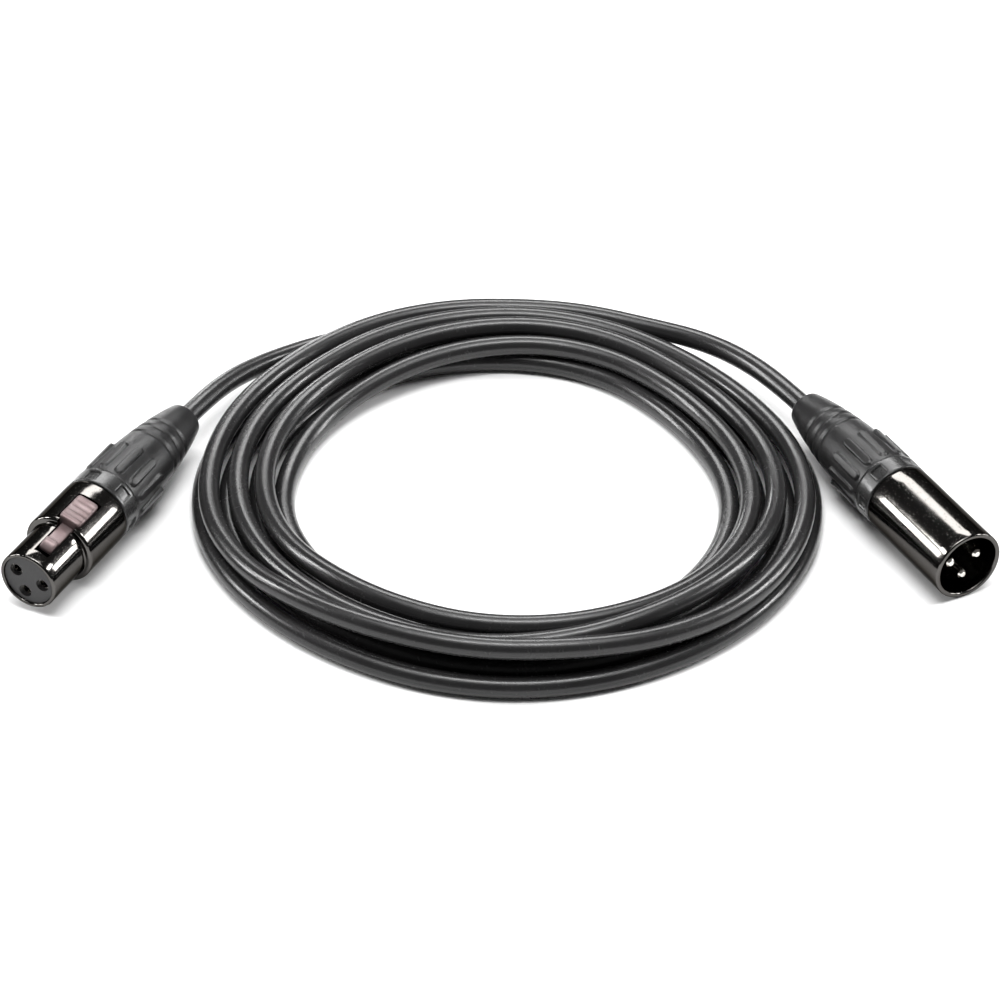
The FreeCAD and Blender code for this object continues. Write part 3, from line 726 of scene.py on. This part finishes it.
def softened_run(height, reach):
    """A running maximum over reach points either way, then a running mean over the same."""
    padded = np.pad(height, reach, mode="edge")
    windows = np.lib.stride_tricks.sliding_window_view(padded, 2 * reach + 1)
    raised = np.pad(windows.max(1), reach, mode="edge")
    return np.lib.stride_tricks.sliding_window_view(raised, 2 * reach + 1).mean(1)


def build_cable(settings, material):
    """The whole cable as one open spline: a lead, the turns and the other lead."""
    cable = settings.cable
    path = np.concatenate([LEADS["female"], coil_points(cable), LEADS["male"][::-1]])
    curve = bpy.data.curves.new("microphone_cable", "CURVE")
    curve.dimensions = "3D"
    spline = curve.splines.new("NURBS")
    spline.points.add(len(path) - 1)
    spline.points.foreach_set("co", np.column_stack([path, np.ones(len(path))]).ravel())
    spline.order_u = 3
    spline.use_endpoint_u = True
    curve.resolution_u = 8
    curve.bevel_depth = cable.diameter / 2
    curve.bevel_resolution = 6
    curve.use_fill_caps = True
    curve.materials.append(material)
    piece = bpy.data.objects.new("microphone_cable", curve)
    bpy.context.collection.objects.link(piece)
    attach(piece, "cable")
    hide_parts("cable_coil", "female_lead", "male_lead")
    return piece


# ---------------------------------------------------------------- connector pieces

SHELL_COLUMNS = 120


def shell_grids(stations, catch=None):
    """Outer and inner skins of a shell from (x, outer radius, inner radius) stations in millimetres.

    Each is a surface of revolution: y = r cos a, z = r sin a. A catch (start, end, radius, half
    angle) presses a shallow pocket into the inner skin round the top.
    """
    x, outer, inner = (column[:, None] for column in np.array(stations).T)
    angle = np.arange(SHELL_COLUMNS)[None, :] * 2 * math.pi / SHELL_COLUMNS
    inner = np.repeat(inner, SHELL_COLUMNS, 1)
    if catch:
        start, end, radius, half = catch
        pressed = (x > start) & (x < end) & (np.abs(angle - math.pi / 2) < half + 1e-6)
        inner = np.where(pressed, radius, inner)
    skins = []
    for r in (outer, inner):
        grid = np.broadcast_arrays(x, r * np.cos(angle), r * np.sin(angle))
        skins.append(np.stack(grid, -1) * MM)
    return skins, x[:, 0]


def rear_stations(radius):
    """The rear of a shell: its last edge, and the spigot that the back nut covers."""
    return [
        (30.9, radius, 7.3), (31.3, radius - 0.04, 7.3), (31.55, radius - 0.2, 7.3),
        (31.7, radius - 0.45, 7.3), (31.7, 8.5, 7.3), (36.1, 8.5, 7.3), (36.4, 8.2, 7.3),
    ]


def build_socket_shell(settings, material):
    """Socket connector's shell: a slim nose with the lever's slot, and a body with its window."""
    nose, body = settings.connector.nose_radius / MM, settings.connector.body_radius / MM
    stations = [
        (0.0, nose - 0.55, 7.2), (0.08, nose - 0.28, 7.05), (0.3, nose - 0.08, 6.95),
        (0.65, nose, 6.95), (3.4, nose, 6.95), (5.6, nose, 6.95), (8.5, nose, 6.95),
        (11.5, nose, 6.95), (13.7, nose, 6.95), (14.0, nose + 0.04, 6.95), (14.22, nose + 0.18, 6.95),
        (14.3, nose + 0.45, 6.95), (14.3, body - 0.75, 7.3), (14.4, body - 0.4, 7.3),
        (14.65, body - 0.13, 7.3), (15.05, body, 7.3), (15.4, body, 7.3), (18.0, body, 7.3),
        (20.8, body, 7.3), (23.5, body, 7.3), (26.2, body, 7.3), (28.6, body, 7.3),
        *rear_stations(body),
    ]
    (outer, inner), x = shell_grids(stations)
    middle = (x[:-1] + x[1:])[:, None] / 2
    angle = (np.arange(SHELL_COLUMNS) + 0.5)[None, :] * 360.0 / SHELL_COLUMNS - 90.0
    slot = (middle > 3.4) & (middle < 15.4) & (np.abs(angle) < 15.0)
    window = (middle > 15.4) & (middle < 26.2) & (np.abs(angle) < 21.0)
    shape = walled(outer, inner, slot | window)
    new_piece("socket_shell", shape, "female", material, "cable", ["female_shell"], 40, 0.00014)


def build_plug_shell(settings, material):
    """Pin connector's shell: a deep rolled mouth with a catch pressed into its roof."""
    plug = settings.connector.plug_radius / MM
    stations = [
        (0.0, plug - 0.5, 8.62), (0.08, plug - 0.24, 8.4), (0.3, plug - 0.05, 8.22),
        (0.6, plug, 8.15), (3.0, plug, 8.15), (5.75, plug, 8.15), (5.85, plug, 8.15),
        (9.95, plug, 8.15), (10.05, plug, 8.15), (12.5, plug, 8.15), (15.0, plug, 8.15),
        (15.01, plug, 7.3), (19.0, plug, 7.3), (23.0, plug, 7.3), (27.0, plug, 7.3),
        *rear_stations(plug),
    ]
    (outer, inner), x = shell_grids(stations, (5.8, 10.0, 8.9, math.radians(18.0)))
    closed = np.zeros((len(x) - 1, SHELL_COLUMNS), bool)
    shape = walled(outer, inner, closed)
    new_piece("plug_shell", shape, "male", material, "cable", ["male_shell"], 40, 0.00012)


def build_latch(material):
    """Release lever: a ribbed button in the window, and a bar with a hook that reaches the nose.

    The button is a superellipse bar whose ends close by (1 - t^8)^(1/8), with thumb ridges of a
    cosine on its top. The bar's top rises in a straight slope to the hook and falls behind it.
    """
    t = np.cos(np.linspace(math.pi, 0, 49))
    x = 20.8 + 4.8 * t
    ends = np.clip(1 - np.abs(t) ** 8, 0, 1) ** (1 / 8)
    ridges = 0.11 * np.cos(2 * math.pi * (x - 20.8) / 1.9) * bump_window(x - 20.8, 3.2, 0.8)
    dish = 0.35 * np.exp(-((x - 20.8) / 3.0) ** 2)
    middle, reach = 8.1, 1.85 * ends
    button = lofted_bar(x, 3.1 * ends, middle - reach, middle + reach - dish * ends + ridges, 7.0)
    x, top, low = np.array([
        (5.6, 6.95, 6.85), (5.66, 7.3, 6.45), (5.8, 7.55, 6.32), (6.4, 8.05, 6.26), (7.0, 8.55, 6.22),
        (7.6, 8.76, 6.19), (8.7, 8.8, 6.13), (8.92, 8.6, 6.12), (9.0, 7.6, 6.11), (9.3, 7.5, 6.1),
        (12.0, 7.5, 5.95), (16.0, 7.5, 5.72), (22.0, 7.3, 5.38), (26.4, 6.85, 5.1),
        (28.0, 6.7, 4.4), (29.5, 6.2, 4.5), (29.8, 5.5, 5.3),
    ]).T
    wide = 1.8 * np.clip(np.minimum(x - 5.55, 29.9 - x) * 6, 0.05, 1) ** 0.4
    lever = lofted_bar(x, wide, low, top, 6.0)
    new_piece("release_lever", merged(button, lever), "female", material, "latch",
              ["female_latch"], 50)


def build_back_nut(settings, side, material):
    """Back nut: a collar with soft-edged flats pressed into it, and the sleeve under the boot."""
    connector = settings.connector
    radius = connector.collar_radius / MM
    outline = rounded_outline([
        (31.9, 8.6, 0), (31.9, radius, 0.42), (34.2, radius, 0), (35.3, radius, 0),
        (37.6, radius, 0.42), (37.6, 7.7, 0), (52.0, 7.7, 0.3), (52.0, 5.3, 0), (44.0, 6.6, 0),
        (36.5, 6.6, 0), (36.5, 8.6, 0),
    ])

    def pressed(x, r, angle):
        across = (angle * connector.grip_count / (2 * math.pi) + 0.5) % 1.0 - 0.5
        across = across * 2 * math.pi / connector.grip_count * connector.collar_radius
        flat = bump_window(across, 1.5 * MM, 0.35 * MM) * bump_window(x - 34.75 * MM, 1.45 * MM, 0.3 * MM)
        return -0.55 * MM * flat * (r > (radius - 0.3) * MM)

    shape = ringed(lathe(filled_in(outline, 0.25 * MM), 240, pressed))
    new_piece(side + "_nut", shape, side, material, "cable", [side + "_back_nut"], 40)


def build_boot(settings, side, material):
    """Rubber boot: its radius falls as tip + (grip - tip)(1 - u^2.1)^0.9, u from 0 to 1 along it.

    Raised ribs stand round the grip: each is a soft-edged window of the distance from a short line.
    Three shallow rings run round the taper.
    """
    connector = settings.connector
    grip, tip = connector.boot_radius / MM, connector.boot_tip_radius / MM
    base = grip - 0.5
    x = np.concatenate([np.arange(38.4, 72.0, 0.4), np.linspace(72.0, 75.1, 14)])
    u = (x - 38.0) / 38.0
    outside = np.stack([x, tip + (base - tip) * (1 - u ** 2.1) ** 0.9], 1)
    front = rounded_outline([(37.7, 7.8, 0), (37.7, base, 0.5), (38.4, base, 0), (38.4, 7.8, 0)])[1:-2]
    end_radius = outside[-1, 1]
    turn = np.linspace(0, math.pi / 2, 7)[1:]
    nose = np.stack([75.1 + 0.9 * np.sin(turn), end_radius - 0.9 + 0.9 * np.cos(turn)], 1)
    inside = [(76.0, 2.8), (54.0, 2.8), (54.0, 5.3), (52.1, 5.3), (52.1, 7.8), (37.7, 7.8)]
    outline = np.concatenate([front / MM, outside, nose, inside]) * MM

    def raised(x, r, angle):
        count = connector.rib_count
        across = (angle * count / (2 * math.pi) + 0.5) % 1.0 - 0.5
        across = across * 2 * math.pi / count * connector.boot_radius
        outer = r > 2.9 * MM
        outer &= (r > 7.9 * MM) | (x > 52.5 * MM)
        beyond = np.clip(np.abs(x - 44.9 * MM) - 4.6 * MM, 0, None)
        panel = bump_window(np.hypot(across, beyond), 0.95 * MM, 0.45 * MM)
        level = (grip + 0.05) * MM - r
        rings = sum(bump_window(x - place * MM, 0.35 * MM, 0.4 * MM) for place in (58.0, 61.5, 65.0))
        return outer * (panel * np.clip(level, 0, None) - 0.22 * MM * rings)

    shape = ringed(lathe(outline, 288, raised))
    new_piece(side + "_rubber_boot", shape, side, material, "cable", [side + "_boot"], 40)


# ---------------------------------------------------------------- operators

def settings_of(context):
    """The add-on's settings on the scene."""
    return context.scene.cable_coil


def finish_for(settings, slot):
    """The material of one of the record's slots, made once.

    Its name ends in _finish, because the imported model's plain materials have the bare names.
    """
    made = bpy.data.materials.get(slot + "_finish")
    if made:
        return made
    colours = settings.colours
    makers = {
        "cable_jacket": (cable_jacket, colours.jacket), "boot_rubber": (boot_rubber, colours.rubber),
        "shell_metal": (shell_metal, colours.nickel), "latch_metal": (latch_metal, colours.button),
        "carrier_plastic": (carrier_plastic, colours.carrier), "nut_plastic": (nut_plastic, colours.nut),
        "contact_metal": (contact_metal, colours.contact),
        "spring_steel": (spring_steel, (0.55, 0.55, 0.55)),
    }
    if slot in makers:
        make, colour = makers[slot]
        return make(tuple(colour))
    plain = {
        "clamp_plastic": (0.6, 0.6, 0.58), "core_red": (0.5, 0.03, 0.03),
        "core_white": (0.75, 0.74, 0.7), "core_screen": (0.02, 0.02, 0.02),
    }
    return moulded_plastic(slot, plain[slot])


class CABLECOIL_OT_cable(bpy.types.Operator):
    """Lay the cable: both leads and the wound turns"""
    bl_idname = "cablecoil.cable"
    bl_label = "Cable"

    def execute(self, context):
        settings = settings_of(context)
        build_cable(settings, finish_for(settings, "cable_jacket"))
        return {"FINISHED"}


class CABLECOIL_OT_shells(bpy.types.Operator):
    """Make the two plated shells"""
    bl_idname = "cablecoil.shells"
    bl_label = "Shells"

    def execute(self, context):
        settings = settings_of(context)
        metal = finish_for(settings, "shell_metal")
        build_socket_shell(settings, metal)
        build_plug_shell(settings, metal)
        return {"FINISHED"}


class CABLECOIL_OT_latch(bpy.types.Operator):
    """Make the release lever with its button and hook"""
    bl_idname = "cablecoil.latch"
    bl_label = "Release Lever"

    def execute(self, context):
        settings = settings_of(context)
        build_latch(finish_for(settings, "latch_metal"))
        return {"FINISHED"}


class CABLECOIL_OT_back_nuts(bpy.types.Operator):
    """Make the two back nuts"""
    bl_idname = "cablecoil.back_nuts"
    bl_label = "Back Nuts"

    def execute(self, context):
        settings = settings_of(context)
        for side in CONNECTORS:
            build_back_nut(settings, side, finish_for(settings, "nut_plastic"))
        return {"FINISHED"}


class CABLECOIL_OT_boots(bpy.types.Operator):
    """Make the two rubber boots"""
    bl_idname = "cablecoil.boots"
    bl_label = "Boots"

    def execute(self, context):
        settings = settings_of(context)
        for side in CONNECTORS:
            build_boot(settings, side, finish_for(settings, "boot_rubber"))
        return {"FINISHED"}


class CABLECOIL_OT_carried_over(bpy.types.Operator):
    """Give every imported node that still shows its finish"""
    bl_idname = "cablecoil.carried_over"
    bl_label = "Carried-over Nodes"

    def execute(self, context):
        settings = settings_of(context)
        for name, node in frame["nodes"].items():
            if node.hide_render:
                continue
            for place in node.material_slots:
                place.material = finish_for(settings, SLOTS[name])
        return {"FINISHED"}


class CABLECOIL_OT_stage(bpy.types.Operator):
    """Set the table, the soft lights and the camera"""
    bl_idname = "cablecoil.stage"
    bl_label = "Stage"

    def execute(self, context):
        settings = settings_of(context)
        build_table(settings)
        build_lights(settings)
        build_camera(settings)
        return {"FINISHED"}


def build_table(settings):
    """A flat square far wider than the view, as four points at the height of the object's underside."""
    half = 3.0
    level = CAD_BOX[0][2]
    mesh = bpy.data.meshes.new("table")
    corners = [(-half, -half, level), (half, -half, level), (half, half, level), (-half, half, level)]
    mesh.from_pydata(corners, [], [(0, 1, 2, 3)])
    mesh.materials.append(table_finish(tuple(settings.colours.floor)))
    table = bpy.data.objects.new("table", mesh)
    bpy.context.collection.objects.link(table)


def soft_light(name, place, aim, width, depth, power):
    """A rectangular softbox at a place, turned to its aim."""
    lamp = bpy.data.lights.new(name, "AREA")
    lamp.shape = "RECTANGLE"
    lamp.size = width
    lamp.size_y = depth
    lamp.energy = power
    light = bpy.data.objects.new(name, lamp)
    light.location = place
    light.rotation_euler = (Vector(aim) - Vector(place)).to_track_quat("-Z", "Y").to_euler()
    bpy.context.collection.objects.link(light)


def build_lights(settings):
    """A broad box overhead, a box behind, a bright strip at each side and a dim even room."""
    stage = settings.stage
    aim = (0.0, 0.0, 0.0)
    soft_light("top_box", (0.0, -0.05, 1.2), aim, 1.3, 0.9, stage.top)
    soft_light("back_box", (0.0, 0.85, 0.85), aim, 0.75, 0.28, stage.back)
    soft_light("top_spark", (0.0, -0.13, 1.15), aim, 0.62, 0.09, 1.6 * stage.spark)
    for name, side, forward in (("left", -1, 0.18), ("right", 1, 0.22)):
        soft_light(name + "_strip", (0.93 * side, forward, 0.24), aim, 0.14, 0.26, stage.strip)
        soft_light(name + "_spark", (0.85 * side, 0.15, 0.52), aim, 0.17, 0.17, stage.spark)
    soft_light("rim_box", (-0.27, 0.94, 0.20), aim, 0.16, 0.10, stage.rim)
    world = bpy.data.worlds.new("studio")
    world.use_nodes = True
    back = world.node_tree.nodes["Background"]
    back.inputs["Color"].default_value = (1.0, 1.0, 1.0, 1.0)
    back.inputs["Strength"].default_value = stage.ambient
    bpy.context.scene.world = world


def build_camera(settings):
    """A long lens on the side that both mating faces look to."""
    stage = settings.stage
    aim = Vector((stage.aim_x, stage.aim_y, 0.0))
    back = Vector((0.0, -math.cos(stage.elevation), math.sin(stage.elevation)))
    lens = bpy.data.cameras.new("camera")
    lens.sensor_width = 36.0
    lens.lens = stage.lens
    lens.clip_start = 0.05
    lens.clip_end = 20.0
    camera = bpy.data.objects.new("camera", lens)
    camera.location = aim + back * stage.distance
    camera.rotation_euler = (-back).to_track_quat("-Z", "Y").to_euler()
    bpy.context.collection.objects.link(camera)
    bpy.context.scene.camera = camera


class CABLECOIL_PT_panel(bpy.types.Panel):
    """Lists the pieces in the order in which they are made"""
    bl_idname = "CABLECOIL_PT_panel"
    bl_label = "Cable Coil"
    bl_space_type = "VIEW_3D"
    bl_region_type = "UI"
    bl_category = "Cable Coil"

    def draw(self, context):
        for step in STEPS:
            self.layout.operator(step.bl_idname)


STEPS = (
    CABLECOIL_OT_stage, CABLECOIL_OT_cable, CABLECOIL_OT_shells, CABLECOIL_OT_latch,
    CABLECOIL_OT_back_nuts, CABLECOIL_OT_boots, CABLECOIL_OT_carried_over,
)
GROUPS = (CableSizes, ConnectorSizes, FinishColours, StageSettings, CableCoilSettings)


def register():
    """Registers the settings, the operators and the panel."""
    for each in (*GROUPS, *STEPS, CABLECOIL_PT_panel):
        bpy.utils.register_class(each)
    bpy.types.Scene.cable_coil = PointerProperty(type=CableCoilSettings)


def unregister():
    """Takes everything away again."""
    del bpy.types.Scene.cable_coil
    for each in (CABLECOIL_PT_panel, *reversed(STEPS), *reversed(GROUPS)):
        bpy.utils.unregister_class(each)


def main():
    """Makes every piece in order."""
    register()
    bpy.context.scene.view_settings.view_transform = "Standard"
    bpy.ops.cablecoil.stage()
    bpy.ops.cablecoil.cable()
    bpy.ops.cablecoil.shells()
    bpy.ops.cablecoil.latch()
    bpy.ops.cablecoil.back_nuts()
    bpy.ops.cablecoil.boots()
    bpy.ops.cablecoil.carried_over()


if __name__ == "__main__":
    main()
